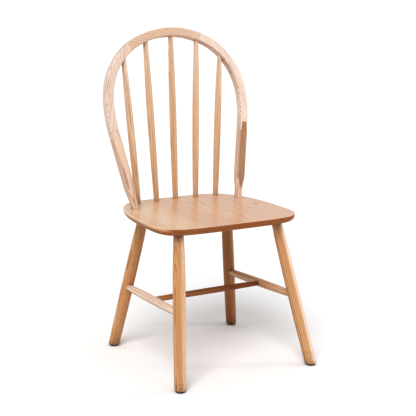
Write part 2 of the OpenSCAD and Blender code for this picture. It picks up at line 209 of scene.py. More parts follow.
def carve(thing, tool, operation="DIFFERENCE"):
    """Cuts tool from thing, or joins or intersects them, and removes tool."""
    modifier = thing.modifiers.new("carve", "BOOLEAN")
    modifier.operation = operation
    modifier.solver = "EXACT"
    modifier.object = tool
    bpy.context.view_layer.update()
    shown = thing.evaluated_get(bpy.context.evaluated_depsgraph_get())
    result = bpy.data.meshes.new_from_object(shown)
    thing.modifiers.clear()
    before = thing.data
    thing.data = result
    bpy.data.meshes.remove(before)
    bpy.data.objects.remove(tool)


def along(p, q):
    """Place whose +Z axis runs from p towards q, starting at p."""
    turn = (q - p).to_track_quat("Z", "Y")
    return Matrix.Translation(p) @ turn.to_matrix().to_4x4()


def bore(thing, p, q, radius, low, high):
    """Round hole along the line from p towards q, between distances low and high from p."""
    carve(thing, lathe("drill", [(radius, low), (radius, high)], along(p, q), 48))


def steps(count):
    return [i / count for i in range(count + 1)]


# ---------- procedural materials ----------

# Outputs of the Attribute node and of the Texture Coordinate node, by number
AS_VECTOR, AS_NUMBER = 1, 2
NORMAL, OBJECT = 1, 3


class Tree:
    """A material's node tree, with short calls that add nodes and link them."""

    def __init__(self, name):
        self.material = bpy.data.materials.new(name)
        self.material.use_nodes = True
        self.nodes = self.material.node_tree.nodes
        self.links = self.material.node_tree.links
        self.shader = next(n for n in self.nodes if n.type == "BSDF_PRINCIPLED")

    def put(self, socket, value):
        if isinstance(value, bpy.types.NodeSocket):
            self.links.new(value, socket)
        else:
            socket.default_value = value

    def add(self, kind, inputs=(), out=0, **settings):
        """Adds a node. inputs maps its sockets' names or numbers to values or other nodes' outputs."""
        made = self.nodes.new("ShaderNode" + kind)
        for key, value in settings.items():
            setattr(made, key, value)
        for key, value in dict(inputs).items():
            self.put(made.inputs[key], value)
        return made.outputs[out]

    def attribute(self, name, out):
        return self.add("Attribute", attribute_name=name, out=out)

    def math(self, operation, a, b=0.0):
        return self.add("Math", {0: a, 1: b}, operation=operation)

    def vector(self, operation, a, b):
        return self.add("VectorMath", {0: a, 1: b}, operation=operation)

    def dot(self, a, b):
        return self.add("VectorMath", {0: a, 1: b}, out=1, operation="DOT_PRODUCT")

    def length(self, a):
        return self.add("VectorMath", {0: a}, out=1, operation="LENGTH")

    def scale(self, a, size):
        return self.add("VectorMath", {0: a, "Scale": size}, operation="SCALE")

    def noise(self, vector, stretch, detail=2.0, roughness=0.5, out=0):
        """Noise whose features are 1 / stretch metres long in each direction."""
        return self.add(
            "TexNoise",
            {
                "Vector": self.vector("MULTIPLY", vector, stretch),
                "Scale": 1.0,
                "Detail": detail,
                "Roughness": roughness,
            },
            out=out,
        )

    def span(self, value, low, high, to_low=0.0, to_high=1.0):
        """Maps value from low..high to to_low..to_high, and holds it there."""
        return self.add(
            "MapRange",
            {"Value": value, 1: low, 2: high, 3: to_low, 4: to_high},
            clamp=True,
        )

    def mix(self, factor, a, b, mode="MIX"):
        """Colour that goes from a to b, or from a to a times b, as factor goes from 0 to 1."""
        return self.add(
            "Mix", {0: factor, 6: a, 7: b}, out=2, data_type="RGBA", blend_type=mode
        )

    def lit(self, base, light):
        """Colour base, made darker or paler by the number light."""
        grey = self.add("CombineColor", {0: light, 1: light, 2: light})
        return self.mix(1.0, base, grey, "MULTIPLY")

    def set(self, **values):
        """Sets the shader's sockets, named with underscores for spaces."""
        for name, value in values.items():
            self.put(self.shader.inputs[name.replace("_", " ")], value)


def colour(red, green, blue):
    """Linear colour from the sRGB values that a paint card gives, 0 to 255."""

    def linear(c):
        c /= 255
        return c / 12.92 if c <= 0.04045 else ((c + 0.055) / 1.055) ** 2.4

    return (linear(red), linear(green), linear(blue), 1)


def shaded(base, light):
    return tuple(c * light for c in base[:3]) + (1,)


def towards(a, b, share=0.5):
    """Colour at that share of the way from a to b."""
    return tuple(p + (q - p) * share for p, q in zip(a, b))


WHITE = (1, 1, 1, 1)


def toned(t, tone, bleached_and_lit, pale, warm, brown):
    """Colour for a tone: bleached at -1, which also serves as painted light, pale at 0, warm at 1 and brown
    at 2.
    """
    base = t.mix(t.span(tone, -1, 0), bleached_and_lit, pale)
    base = t.mix(t.span(tone, 0, 1), base, warm)
    return t.mix(t.span(tone, 1, 2), base, brown)


def early_wood(t, log, ring):
    """1 where a year's ring of width ring starts, fading to 0 through the year."""
    across = t.length(t.vector("MULTIPLY", log, (1, 1, 0)))
    uneven = t.math("MULTIPLY", t.noise(log, (60, 60, 0.8), detail=1), 1.6)
    year = t.math("FRACT", t.math("ADD", t.math("DIVIDE", across, ring), uneven))
    fade = t.math("POWER", t.span(year, 0.05, 0.55, 1, 0), 1.5)
    return t.math("MAXIMUM", fade, t.span(year, 0.9, 1.0))


def round_knot(t, log, from_knot):
    """Place in the log, with the grain pushed aside by a knot, and how much a point is in the knot."""
    distance = t.length(t.vector("MULTIPLY", from_knot, (1, 0.45, 0)))
    aside = t.vector("MULTIPLY", from_knot, (0.5, 0, 0))
    pushed = t.scale(aside, t.span(distance, 0, 16 * MM, 1, 0))
    return t.vector("ADD", log, pushed), t.span(distance, 1.5 * MM, 7 * MM, 1, 0)


def worn(t, base, up, bleached_and_lit, rub):
    """Paler where an upper edge has been rubbed, neither on the flat top nor on the sides."""
    edge = t.math("MULTIPLY", t.span(up, 0.2, 0.45), t.span(up, 0.98, 0.85, 0, rub))
    return t.mix(edge, base, bleached_and_lit)


def scuffed(t, base, place, dirt, scuffs):
    """Dark marks where shoes and mops have knocked the wood, near the floor only."""
    height = t.add("SeparateXYZ", {0: place}, out=2)
    near_floor = t.span(height, 6 * MM, 50 * MM, scuffs, 0)
    marks = t.span(t.noise(place, (260, 260, 70), detail=3), 0.48, 0.62)
    return t.mix(t.math("MULTIPLY", near_floor, marks), base, dirt)


def oak(
    name,
    pale,
    warm,
    deep,
    end_grain,
    under=0.3,
    corners=0.5,
    rub=0.0,
    scuffs=0.0,
    ring=2.6 * MM,
    figure=0.55,
    gloss=0.6,
    knot=None,
):
    """Ring-porous oak under a satin lacquer.

    The attribute grain holds each point's place in the log: two ways across from the pith, then along.
    The attribute fibres is the way that the grain runs, which shows where the end grain drinks colour.
    The attribute tone is 0 for pale wood, 1 for warm and 2 for deep brown, and below 0 for bleached wood; on
    some pieces it also carries painted light and painted shade.
    under and corners say how much painted shade darkens faces that point down and inner corners, rub and
    scuffs how worn the wood is.
    ring is a year's growth, figure how strongly it shows, and gloss how much lacquer there is.
    """
    t = Tree(name)
    grain = t.attribute("grain", AS_VECTOR)
    place = t.add("TexCoord", out=OBJECT)
    facing = t.add("TexCoord", out=NORMAL)
    up = t.dot(facing, (0, 0, 1))
    along_grain = t.math("ABSOLUTE", t.dot(facing, t.attribute("fibres", AS_VECTOR)))

    swirl = t.vector("SUBTRACT", t.noise(grain, (7, 7, 2.2), out=1), (0.5, 0.5, 0.5))
    log = t.vector("ADD", grain, t.vector("MULTIPLY", swirl, (0.022, 0.022, 0)))
    if knot:
        log, in_knot = round_knot(t, log, t.vector("SUBTRACT", place, knot))
    early = early_wood(t, log, ring)

    # Long along the grain and narrow across it: fibres, broader streaks and patches, and short pores
    fibre = t.noise(grain, (420, 420, 7), detail=3, roughness=0.6)
    streak = t.noise(grain, (150, 150, 2.5), detail=2)
    patch = t.noise(grain, (16, 16, 2.4), detail=2)
    dots = t.span(t.noise(grain, (950, 950, 36), detail=1), 0.6, 0.68)
    pores = t.math("MULTIPLY", dots, t.math("ADD", t.math("MULTIPLY", early, 0.85), 0.15))

    tone = t.math("ADD", t.attribute("tone", AS_NUMBER), t.span(patch, 0.3, 0.7, -0.25, 0.25))
    bleached_and_lit = towards(pale, WHITE, 0.4)
    base = toned(t, tone, bleached_and_lit, pale, warm, shaded(deep, 0.7))
    lines = toned(t, tone, towards(bleached_and_lit, deep), deep, deep, shaded(deep, 0.45))
    base = t.mix(t.math("MULTIPLY", early, figure), base, lines)
    base = t.mix(t.span(streak, 0.5, 0.75, 0, figure * 0.5), base, lines)

    # Sawn ends show bare wood that drinks colour, and faces that point down get the same darker colour as
    # painted shade; on both the fibres stand out more
    ends = t.span(along_grain, 0.45, 0.85, 0, 0.9)
    bare_and_painted_shade = t.math("MAXIMUM", ends, t.span(up, 0.1, -0.35, 0, under))
    darkest, palest = t.span(bare_and_painted_shade, 0, 0.9, 0.9, 0.7), t.span(bare_and_painted_shade, 0, 0.9, 1.08, 1.3)
    base = t.mix(bare_and_painted_shade, base, end_grain)
    base = t.lit(base, t.span(fibre, 0.3, 0.7, darkest, palest))
    base = t.mix(t.math("MULTIPLY", pores, 0.5), base, shaded(deep, 0.42))

    base = worn(t, base, up, bleached_and_lit, rub)
    base = scuffed(t, base, place, shaded(end_grain, 0.6), scuffs)
    # Painted shade: inner corners and the spaces under and between parts are darkened where ambient
    # occlusion finds them closed in
    openness = t.add("AmbientOcclusion", {"Distance": 45 * MM}, out=1, samples=6)
    base = t.mix(t.span(openness, 0.15, 0.85, corners, 0), base, shaded(end_grain, 0.5))
    if knot:
        base = t.mix(t.math("MULTIPLY", in_knot, 0.8), base, KNOT_BROWN)

    hollows = t.math("ADD", pores, t.math("MULTIPLY", early, 0.12))
    height = t.math("SUBTRACT", t.math("MULTIPLY", fibre, 0.25), hollows)
    matter = t.math("MULTIPLY", pores, 0.2)
    t.set(
        Base_Color=base,
        Roughness=t.math("ADD", t.span(fibre, 0.3, 0.7, 0.36, 0.46), matter),
        Specular_IOR_Level=t.span(bare_and_painted_shade, 0, 0.8, 0.25, 0.05),
        Coat_Weight=t.span(bare_and_painted_shade, 0, 0.8, gloss, 0.05),
        Coat_Roughness=0.25,
        Coat_IOR=1.5,
        Normal=t.add("Bump", {"Strength": 0.35, "Distance": 0.12 * MM, "Height": height}),
    )
    return t.material


def moulded_plastic(name, base):
    """Fine-grained moulded plastic, paler where it has rubbed on the floor."""
    t = Tree(name)
    place = t.add("TexCoord", out=OBJECT)
    spots = t.noise(place, (900, 900, 900), detail=3)
    cloud = t.noise(place, (70, 70, 70), detail=2)
    dusty = t.mix(t.span(cloud, 0.45, 0.75, 0, 0.35), base, colour(120, 108, 98))
    t.set(
        Base_Color=t.lit(dusty, t.span(spots, 0.3, 0.7, 0.85, 1.15)),
        Roughness=t.span(cloud, 0.3, 0.7, 0.45, 0.65),
        Normal=t.add("Bump", {"Strength": 0.3, "Distance": 0.08 * MM, "Height": spots}),
    )
    return t.material


def drawn_steel(name):
    """Plain steel wire with fine rings from its drawing, slightly dulled."""
    t = Tree(name)
    place = t.add("TexCoord", out=OBJECT)
    lines = t.noise(place, (250, 250, 4000), detail=2)
    dull = t.noise(place, (400, 400, 400), detail=2)
    t.set(
        Base_Color=t.mix(t.span(dull, 0.4, 0.7), colour(196, 196, 198), colour(142, 138, 132)),
        Metallic=1.0,
        Roughness=t.span(lines, 0.3, 0.7, 0.25, 0.45),
        Normal=t.add("Bump", {"Strength": 0.2, "Distance": 0.03 * MM, "Height": lines}),
    )
    return t.material


# A small knot in the seat's right board, and the colour of its heart
KNOT_AT = (187 * MM, SEAT_Y, 0)
KNOT_BROWN = colour(140, 76, 54)

# In the materials below, under and corners set painted shade on faces that point down and in inner corners
MATERIALS = {
    "seat_wood": oak(
        "seat_oak",
        pale=colour(222, 190, 158),
        warm=colour(216, 176, 148),
        deep=colour(184, 132, 94),
        end_grain=colour(146, 88, 40),
        under=0.85,
        corners=0.3,
        rub=0.4,
        figure=0.32,
        gloss=0.9,
        knot=KNOT_AT,
    ),
    "hoop_wood": oak(
        "hoop_oak",
        pale=colour(226, 207, 193),
        warm=colour(212, 178, 146),
        deep=colour(160, 110, 78),
        end_grain=colour(170, 124, 86),
        corners=0.4,
        ring=4.4 * MM,
        figure=0.62,
        gloss=0.4,
    ),
    "spindle_wood": oak(
        "spindle_oak",
        pale=colour(216, 186, 156),
        warm=colour(206, 168, 128),
        deep=colour(170, 118, 76),
        end_grain=colour(150, 98, 56),
    ),
    "leg_wood": oak(
        "leg_oak",
        pale=colour(210, 170, 128),
        warm=colour(195, 152, 108),
        deep=colour(160, 92, 32),
        end_grain=colour(132, 74, 34),
        corners=0.95,
        scuffs=0.6,
        gloss=0.5,
    ),
    "wedge_wood": oak(
        "wedge_oak",
        pale=colour(150, 106, 72),
        warm=colour(140, 96, 64),
        deep=colour(104, 68, 44),
        end_grain=colour(110, 72, 46),
    ),
    "glide_plastic": moulded_plastic("glide_plastic", colour(62, 50, 42)),
    "nail_steel": drawn_steel("nail_steel"),
}


def between(value, low, high):
    """Share of the way from low to high at which value lies, held from 0 to 1."""
    return min(max((value - low) / (high - low), 0), 1)


def painted_side_light(way, start, end, inner, outer):
    """Tone that goes from inner to outer where a point lies start to end off the axis, in direction way; it
    paints a highlight on the lit side of a leg and shade on the front of a post.
    """
    way = Vector(way).normalized()
    return lambda off_axis, height: inner + (outer - inner) * between(off_axis.dot(way), start, end)


def fading(low, high, length):
    """Tone that goes from low to high over the piece's length."""
    return lambda off_axis, height: low + (high - low) * height / length


def saw(thing, place, log, tone):
    """Gives a wooden piece its place in the log and its tone, one number or a rule from above.

    place's +Z axis is the way that the grain runs.
    """
    points = [v.co.copy() for v in thing.data.vertices]
    axis = (place.to_3x3() @ UP).normalized()
    start = place.translation
    tones = [tone] * len(points)
    if callable(tone):
        heights = [(p - start).dot(axis) for p in points]
        tones = [tone(p - start - axis * h, h) for p, h in zip(points, heights)]
    to_log = Matrix.Translation(log) @ place.inverted()
    grain = thing.data.attributes.new("grain", "FLOAT_VECTOR", "POINT")
    grain.data.foreach_set("vector", [c for p in points for c in to_log @ p])
    fibres = thing.data.attributes.new("fibres", "FLOAT_VECTOR", "POINT")
    fibres.data.foreach_set("vector", list(axis) * len(points))
    shade = thing.data.attributes.new("tone", "FLOAT", "POINT")
    shade.data.foreach_set("value", tones)


def finish_piece(thing, node, slot):
    """Shades the piece smooth, names it after its node, and gives it that node's body and material."""
    thing.data.shade_smooth()
    thing.data.set_sharp_from_angle(angle=CREASE)
    thing.name = "fine_" + node
    thing.data.name = thing.name
    thing.data.materials.clear()
    thing.data.materials.append(MATERIALS[slot])
    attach(thing, "root")
    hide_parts(node)


# ---------- points of the chair ----------


def on_leg(foot, top, side, z):
    """Point at height z on the axis of the leg from foot to top."""
    k = z / SEAT_UNDER
    x, y = (foot[i] + (top[i] - foot[i]) * k for i in (0, 1))
    return Vector((side * x, SEAT_Y + y, z))


def on_hoop(s, h):
    """Point of the hoop's leaning plane: s sideways, h up the plane."""
    return Vector((s, SEAT_Y + HOOP_BACK + h * math.sin(LEAN), SEAT_TOP + h * math.cos(LEAN)))


# Place of the hoop's plane: X sideways, Y up the plane, Z to the front
HOOP_PLACE = Matrix.Translation(on_hoop(0, 0)) @ Matrix.Rotation(math.radians(90) - LEAN, 4, "X")


def out_at(a):
    return Vector((math.sin(a), math.cos(a)))


crown_c = Vector((0, HOOP_H - CROWN_R))
shoulder_c = crown_c + (CROWN_R - SHOULDER_R) * out_at(CROWN_END)
side_c = shoulder_c + (SHOULDER_R - SIDE_R) * out_at(SHOULDER_END)
post_top = side_c + SIDE_R * out_at(SIDE_END)
post_dir = Vector((math.cos(SIDE_END), -math.sin(SIDE_END)))
post_len = post_top.y / math.sin(SIDE_END)
post_foot = post_top + post_len * post_dir
crown_len = CROWN_R * CROWN_END
shoulder_len = crown_len + SHOULDER_R * (SHOULDER_END - CROWN_END)
side_len = shoulder_len + SIDE_R * (SIDE_END - SHOULDER_END)
line_len = side_len + post_len


def middle_line(u):
    """Point and outward direction of the hoop's middle line at distance u from its top, left below 0."""
    if u < 0:
        point, out = middle_line(-u)
        return Vector((-point.x, point.y)), Vector((-out.x, out.y))
    if u > side_len:
        return post_top + (u - side_len) * post_dir, out_at(SIDE_END)
    if u > shoulder_len:
        centre, radius, angle = side_c, SIDE_R, SHOULDER_END + (u - shoulder_len) / SIDE_R
    elif u > crown_len:
        centre, radius, angle = shoulder_c, SHOULDER_R, CROWN_END + (u - crown_len) / SHOULDER_R
    else:
        centre, radius, angle = crown_c, CROWN_R, u / CROWN_R
    return centre + radius * out_at(angle), out_at(angle)


def inner_h(s):
    """Height of the hoop's inner edge at s sideways."""
    crown_in, shoulder_in = CROWN_R - BAR_W / 2, SHOULDER_R - BAR_W / 2
    if abs(s) < crown_in * math.sin(CROWN_END):
        return crown_c.y + math.sqrt(crown_in**2 - s**2)
    return shoulder_c.y + math.sqrt(shoulder_in**2 - (abs(s) - shoulder_c.x) ** 2)


def spindle_ends(i):
    low, back, high = SPINDLES[i]
    return Vector((low, SEAT_Y + back, SEAT_TOP)), on_hoop(high, inner_h(high))


def side_stretcher_ends(side):
    front = on_leg(FRONT_FOOT, FRONT_TOP, side, STRETCHER_FRONT_Z)
    back = on_leg(BACK_FOOT, BACK_TOP, side, STRETCHER_BACK_Z)
    return front, back


def cross_stretcher_ends():
    left, right = side_stretcher_ends(LEFT), side_stretcher_ends(RIGHT)
    return (left[0] + left[1]) / 2, (right[0] + right[1]) / 2


def post_axis(side):
    foot = on_hoop(side * post_foot.x, post_foot.y)
    return foot, on_hoop(side * post_top.x, post_top.y)


# ---------- seat ----------


def power_of(x, p):
    return math.copysign(abs(x) ** p, x)


def outline(a):
    """Point of the seat's plan outline at angle a, around the seat's middle."""
    depth = power_of(math.sin(a), 2 / (FRONT_SQUARE if math.sin(a) < 0 else BACK_SQUARE))
    width = (SEAT_HALF_W - SEAT_FLARE * depth) * power_of(math.cos(a), 2 / SIDE_SQUARE)
    return Vector((width, SEAT_HALF_D * depth))


FINE_OUTLINE = 2880


def outline_points(count):
    """Points of the outline at even distances along it, found on a much finer one."""
    fine = [outline((i + 0.5) * 2 * math.pi / FINE_OUTLINE) for i in range(FINE_OUTLINE)]
    lengths = [0.0]
    for p, q in zip(fine, fine[1:] + fine[:1]):
        lengths.append(lengths[-1] + (q - p).length)
    points, at = [], 0
    for i in range(count):
        goal = lengths[-1] * i / count
        while lengths[at + 1] < goal:
            at += 1
        share = (goal - lengths[at]) / (lengths[at + 1] - lengths[at])
        points.append(fine[at].lerp(fine[(at + 1) % len(fine)], share))
    return points


def seat_panel():
    """The whole panel, as rings stacked from the underside over the rounded edge to the top."""
    points = outline_points(300)
    outs = []
    for i in range(len(points)):
        run = points[(i + 1) % len(points)] - points[i - 1]
        outs.append(Vector((run.y, -run.x)).normalized())
    # The first ring and the last lie on the flat faces, so that those stay flat under smooth shading
    edge = [(UNDER_IN + 3 * MM, 0)]
    for t in steps(12):
        a = t * math.pi / 2
        edge.append((UNDER_IN * (1 - math.sin(a)), UNDER_UP * (1 - math.cos(a))))
    thick = SEAT_TOP - SEAT_UNDER
    for t in steps(7):
        a = t * math.pi / 2
        edge.append((SEAT_EDGE_R * (1 - math.cos(a)), thick - SEAT_EDGE_R * (1 - math.sin(a))))
    edge.append((SEAT_EDGE_R + 1.5 * MM, thick))
    rings = []
    for inwards, up in edge:
        ring = [p - inwards * out for p, out in zip(points, outs)]
        rings.append([Vector((p.x, p.y + SEAT_Y, SEAT_UNDER + up)) for p in ring])
    return loft("panel", rings)


def soften(thing, chosen, width, segments):
    """Rounds or bevels the edges whose two ends are both chosen."""
    mesh = bmesh.new()
    mesh.from_mesh(thing.data)
    edges = [e for e in mesh.edges if all(chosen(v.co) for v in e.verts)]
    bmesh.ops.bevel(
        mesh, geom=edges, offset=width, segments=segments, profile=0.5, affect="EDGES"
    )
    mesh.to_mesh(thing.data)
    mesh.free()


def cut_glue_line(board, x, outward):
    """Ends a board at x, with the top edge of that cut broken."""

    def on_edge(p):
        return abs(p.x - x) < 0.01 * MM and abs(p.z - SEAT_TOP) < 0.01 * MM

    cut_flat(board, (x, 0, 0), outward)
    soften(board, on_edge, GLUE_LINE_BEVEL, 1)


# Half the width of the first glue line, which has opened a little, and of the others
OPEN_LINE, CLOSED_LINE = 0.4 * MM, 0.06 * MM
GLUE_LINE_BEVEL = 0.3 * MM

# Each board's place in the log, two ways across and one along, and its tone
BOARDS = [
    ((0.09, 0.06, 0.4), 0.0),
    ((-0.035, 0.12, 1.9), 0.75),
    ((0.02, 0.105, 3.1), 0.6),
    ((-0.05, 0.09, 4.7), 0.6),
]


def make_board(i, log, tone):
    low = FIRST_GLUE_LINE + (i - 1) * BOARD_W + (OPEN_LINE if i == 1 else CLOSED_LINE)
    high = FIRST_GLUE_LINE + i * BOARD_W - (OPEN_LINE if i == 0 else CLOSED_LINE)
    first, last = i == 0, i == len(BOARDS) - 1
    board = seat_panel()
    if not first:
        cut_glue_line(board, low, (-1, 0, 0))
    if not last:
        cut_glue_line(board, high, (1, 0, 0))
    if first or last:
        side = LEFT if first else RIGHT
        for foot, top in ((FRONT_FOOT, FRONT_TOP), (BACK_FOOT, BACK_TOP)):
            under, above = on_leg(foot, top, side, SEAT_UNDER), on_leg(foot, top, side, SEAT_TOP)
            bore(board, under, above, LEG_TENON_R + FIT_GAP, -PAST, LEG_TENON + END_GAP)
        bore(board, *post_axis(side), POST_TENON_R + FIT_GAP, -PAST, PAST)
    for k in range(len(SPINDLES)):
        foot, head = spindle_ends(k)
        if (first or foot.x > low) and (last or foot.x < high):
            bore(board, foot, head, SPINDLE_LOW_R + FIT_GAP, -SPINDLE_HOLE - END_GAP, PAST)
    middle = Matrix.Translation(((low + high) / 2, SEAT_Y, SEAT_UNDER))
    saw(board, middle @ Matrix.Rotation(math.radians(-90), 4, "X"), log, tone)
    finish_piece(board, f"seat_board_{i + 1}", "seat_wood")


# ---------- hoop ----------


CORNER_STEPS = 6


def rounded_section():
    """Outline of the bar's section: across its face, towards the front."""
    x, y = BAR_W / 2 - BAR_EDGE_R, BAR_D / 2 - BAR_EDGE_R
    points = []
    for quarter, (sx, sy) in enumerate(((1, 1), (-1, 1), (-1, -1), (1, -1))):
        for t in steps(CORNER_STEPS):
            a = (quarter + t) * math.pi / 2
            points.append((sx * x + BAR_EDGE_R * math.cos(a), sy * y + BAR_EDGE_R * math.sin(a)))
    return points


BAR_STEP = 3 * MM


def bar(name, u, v):
    """Bar along the hoop's middle line between distances u and v from the top."""
    count = math.ceil((v - u) / BAR_STEP)
    section = rounded_section()
    rings = []
    for t in steps(count):
        point, out = middle_line(u + (v - u) * t)
        rings.append(
            [HOOP_PLACE @ Vector((point.x + x * out.x, point.y + x * out.y, y)) for x, y in section]
        )
    return loft(name, rings)


def bar_place(u):
    """Place on the middle line at distance u from the top: X outwards, Z to the front."""
    point, out = middle_line(u)
    turn = Matrix.Rotation(math.atan2(out.y, out.x), 4, "Z")
    return HOOP_PLACE @ Matrix.Translation((point.x, point.y, 0)) @ turn


def finger_block(u, to_top, slack=0.0):
    """Toothed block across the bar at u, which reaches to_top along it, or down when that is below 0."""
    up = math.copysign(1, u)
    grow = math.copysign(slack, -to_top)
    teeth = []
    for i in range(-1, FINGER_STEPS + 2):
        tip = (1 if i % 2 == 0 else -1) * FINGER / 2
        teeth.append((BAR_D / 2 - i * BAR_D / FINGER_STEPS, up * (tip + grow)))
    shape = teeth + [(-BAR_D, up * to_top), (BAR_D, up * to_top)]
    place = bar_place(u) @ Matrix.Rotation(math.radians(90), 4, "Y")
    return prism("fingers", shape, -BAR_W, BAR_W, place)


def tongue_block(side, slack):
    """Block below the joint between post and arch: a tapered tongue stands between two cheeks."""
    root, tip = BAR_W * 0.38 + slack, BAR_W * 0.26 + slack
    low, top = TONGUE_LOW + slack, TONGUE_LOW + TONGUE + slack
    shape = [(-BAR_W, -PAST), (BAR_W, -PAST), (BAR_W, low), (root, low)]
    shape += [(tip, top), (-tip, top), (-root, low), (-BAR_W, low)]
    turn = Matrix.Rotation(math.atan2(post_dir.y, side * post_dir.x) - math.radians(270), 4, "Z")
    place = HOOP_PLACE @ Matrix.Translation((side * post_foot.x, post_foot.y, 0)) @ turn
    return prism("tongue", shape, -BAR_D, BAR_D, place)


def bore_for_spindles(thing, numbers):
    for i in numbers:
        foot, head = spindle_ends(i)
        length = (head - foot).length
        end = length + SPINDLE_HOLE + END_GAP
        bore(thing, foot, head, SPINDLE_TOP_R + FIT_GAP, length - PAST, end)


def chord_place(u, v):
    """Place of a straight plank sawn along the hoop between u and v: Z along it, Y to the front."""
    p, q = middle_line(u)[0], middle_line(v)[0]
    start = HOOP_PLACE @ Vector((p.x, p.y, 0))
    run = (q - p).normalized()
    turn = Matrix.Rotation(math.atan2(run.y, run.x), 4, "Z")
    lay = HOOP_PLACE.to_3x3().to_4x4() @ turn @ Matrix.Rotation(math.radians(90), 4, "Y")
    return Matrix.Translation(start) @ lay


def make_crown(log, tone):
    crown = bar("crown", -JOINT_LEFT - JOINT_SPARE, JOINT_RIGHT + JOINT_SPARE)
    carve(crown, finger_block(-JOINT_LEFT, -PAST, GLUE_GAP))
    carve(crown, finger_block(JOINT_RIGHT, -PAST, GLUE_GAP))
    bore_for_spindles(crown, (1, 2, 3))
    saw(crown, chord_place(-JOINT_LEFT, JOINT_RIGHT), log, tone)
    finish_piece(crown, "hoop_crown", "hoop_wood")


def make_shoulder(side, name, joint, log, tone):
    lowest = line_len - TONGUE_LOW + JOINT_SPARE / 2
    ends = sorted((side * (joint - JOINT_SPARE), side * lowest))
    shoulder = bar("shoulder", *ends)
    carve(shoulder, finger_block(side * joint, PAST))
    carve(shoulder, tongue_block(side, GLUE_GAP))
    bore_for_spindles(shoulder, (0,) if side == LEFT else (4,))
    saw(shoulder, chord_place(side * joint, side * lowest), log, tone)
    finish_piece(shoulder, "hoop_shoulder_" + name, "hoop_wood")


# Wedge in a post's tenon: half its thickness at the butt and at the edge, what it leaves of the tenon at
# each side, how far its edge is above the seat's underside, and how long its butt is before it is cut level
WEDGE_BUTT, WEDGE_EDGE, WEDGE_SIDE = 2.1 * MM, 0.4 * MM, 1.5 * MM
WEDGE_REACH, WEDGE_SPARE = 17 * MM, 6 * MM


def wedge_solid(side, grow=0.0):
    """Wedge in the end of a post's tenon, or the longer slot for it where grow is above 0."""
    foot, top = post_axis(side)
    axis = (top - foot).normalized()
    back = (Vector((0, 1, 0)) - axis * axis.y).normalized()
    place = Matrix.Translation(foot) @ Matrix((axis.cross(back), back, axis)).transposed().to_4x4()
    under = SEAT_UNDER - SEAT_TOP
    half = POST_TENON_R - WEDGE_SIDE
    rings = []
    for z, thick in ((under - WEDGE_SPARE, WEDGE_BUTT + grow), (under + WEDGE_REACH, WEDGE_EDGE + grow)):
        corners = ((-half, -thick), (half, -thick), (half, thick), (-half, thick))
        rings.append([place @ Vector((x, y, z)) for x, y in corners])
    wedge = loft("wedge", rings)
    if grow == 0:
        cut_flat(wedge, (0, 0, SEAT_UNDER), (0, 0, -1))
    return wedge, place


SIDE_PARTS = 8


def fine_section():
    """The bar's section with each flat side in several parts, so that it can be pulled in to a circle."""
    section = rounded_section()
    points = []
    for (x0, y0), (x1, y1) in zip(section, section[1:] + section[:1]):
        count = SIDE_PARTS if math.hypot(x1 - x0, y1 - y0) > BAR_EDGE_R else 1
        points += [(x0 + (x1 - x0) * j / count, y0 + (y1 - y0) * j / count) for j in range(count)]
    return points


def post_blank(foot, top):
    """Square bar from below the seat's top to above the tongue, with its neck carved round."""
    up = (top - foot).normalized()
    to_front = HOOP_PLACE.to_3x3() @ UP
    across = to_front.cross(up)
    front = up.cross(across)
    full = math.hypot(BAR_W, BAR_D) / 2
    heights = [-JOINT_SPARE, 0, NECK_H / 2]
    heights += [NECK_H + (SQUARE_H - NECK_H) * t for t in steps(28)]
    heights += [SQUARE_H + JOINT_SPARE / 2, TONGUE_LOW + TONGUE + JOINT_SPARE]
    rings = []
    for h in heights:
        limit = NECK_R + (full - NECK_R) * between(h, NECK_H, SQUARE_H) ** 1.5
        ring = []
        for x, y in fine_section():
            reach = math.hypot(x, y)
            k = min(reach, limit) / reach
            ring.append(foot + up * h + across * x * k + front * y * k)
        rings.append(ring)
    return loft("post", rings)


def make_post(side, name, log, tone):
    """Square post with its neck carved round, a tongue above and a wedged tenon through the seat."""
    foot, top = post_axis(side)
    place = along(foot, top)
    post = post_blank(foot, top)
    carve(post, tongue_block(side, 0), "INTERSECT")
    cut_flat(post, (0, 0, SEAT_TOP), (0, 0, -1))
    tenon = lathe("tenon", [(POST_TENON_R, -PAST), (POST_TENON_R, NECK_H / 2)], place, 48)
    cut_flat(tenon, (0, 0, SEAT_UNDER), (0, 0, -1))
    carve(post, tenon, "UNION")
    carve(post, wedge_solid(side, FIT_GAP)[0])
    saw(post, place, log, tone)
    finish_piece(post, "hoop_post_" + name, "hoop_wood")

    wedge, wedge_place = wedge_solid(side)
    saw(wedge, wedge_place, (0.03, 0.02, 0.3 * side), 0.5)
    finish_piece(wedge, "post_wedge_" + name, "wedge_wood")


# ---------- spindles, legs and stretchers ----------


def swell(t, at, low, middle, high):
    """Radius at share t of a turned stick that swells from low to middle, at share at, and falls to high."""
    if t < at:
        return middle - (middle - low) * ((at - t) / at) ** 2
    return middle - (middle - high) * ((t - at) / (1 - at)) ** 2


def low_end(radius, z):
    """Profile of the bevelled end of a stick that starts at height z."""
    return [(radius - TENON_BEVEL, z), (radius, z + TENON_BEVEL)]


def high_end(radius, z):
    """Profile of the bevelled end of a stick that ends at height z."""
    return [(radius, z - TENON_BEVEL), (radius - TENON_BEVEL, z)]


